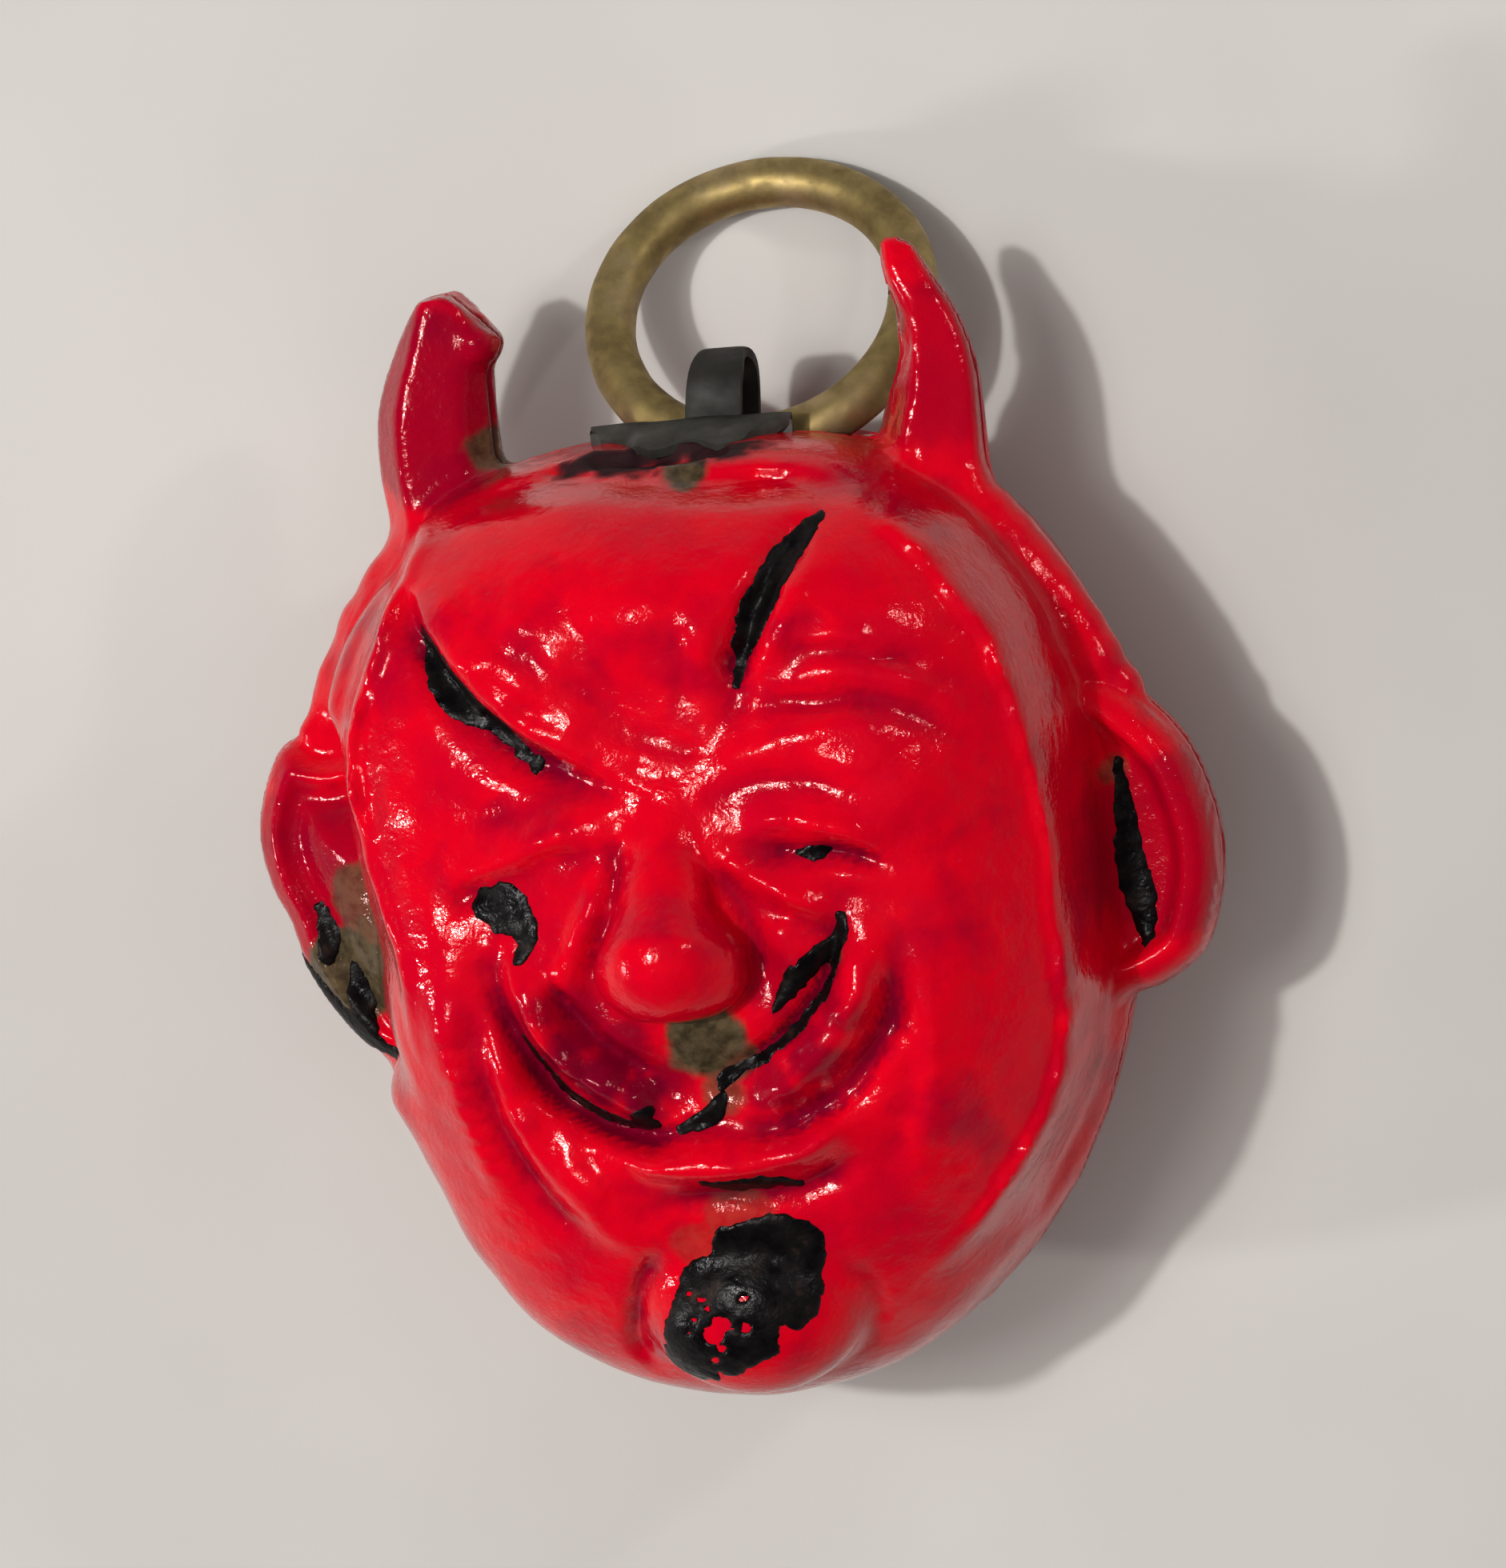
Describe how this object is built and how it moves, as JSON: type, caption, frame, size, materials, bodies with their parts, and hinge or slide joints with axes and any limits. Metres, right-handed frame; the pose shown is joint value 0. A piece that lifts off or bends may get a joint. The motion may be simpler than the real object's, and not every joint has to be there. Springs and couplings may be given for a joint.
{
  "type": "miniature devil head ornament",
  "caption": "Small hollow moulded devil head with horns and ears, a sheet-metal cap and eye at the crown, and a hinged hanging ring.",
  "frame": {"origin": "under the middle of the part's box, on the surface that it lies on", "axes": "+Z out of the face, +Y from the chin to the crown, +X to the viewer's right of the face"},
  "size_m": [0.019, 0.0238, 0.0128],
  "materials": {
    "red_plastic": "glossy moulded celluloid-like plastic",
    "tin_plate": "tarnished thin sheet",
    "brass_wire": "aged and tarnished",
    "black_paint": "worn gloss enamel"
  },
  "bodies": {
    "head": {"face_shell": "red_plastic", "back_shell": "red_plastic", "crown_cap": "tin_plate", "hanger_eye": "tin_plate", "brow_paint_left": "black_paint", "brow_paint_right": "black_paint", "eye_paint_left": "black_paint", "eye_paint_right": "black_paint", "moustache_paint_left": "black_paint", "moustache_paint_right": "black_paint", "mouth_paint": "black_paint", "lip_paint": "black_paint", "goatee_paint": "black_paint", "ear_paint_left": "black_paint", "ear_paint_right": "black_paint"},
    "ring": {"jump_ring": "brass_wire"}
  },
  "joints": [
    {"name": "ring_swing", "type": "hinge", "parent": "head", "child": "ring", "pos_m": [0.00033, 0.00672, 0.0043], "axis": [1, 0, 0], "range_deg": [0, 32]}
  ]
}
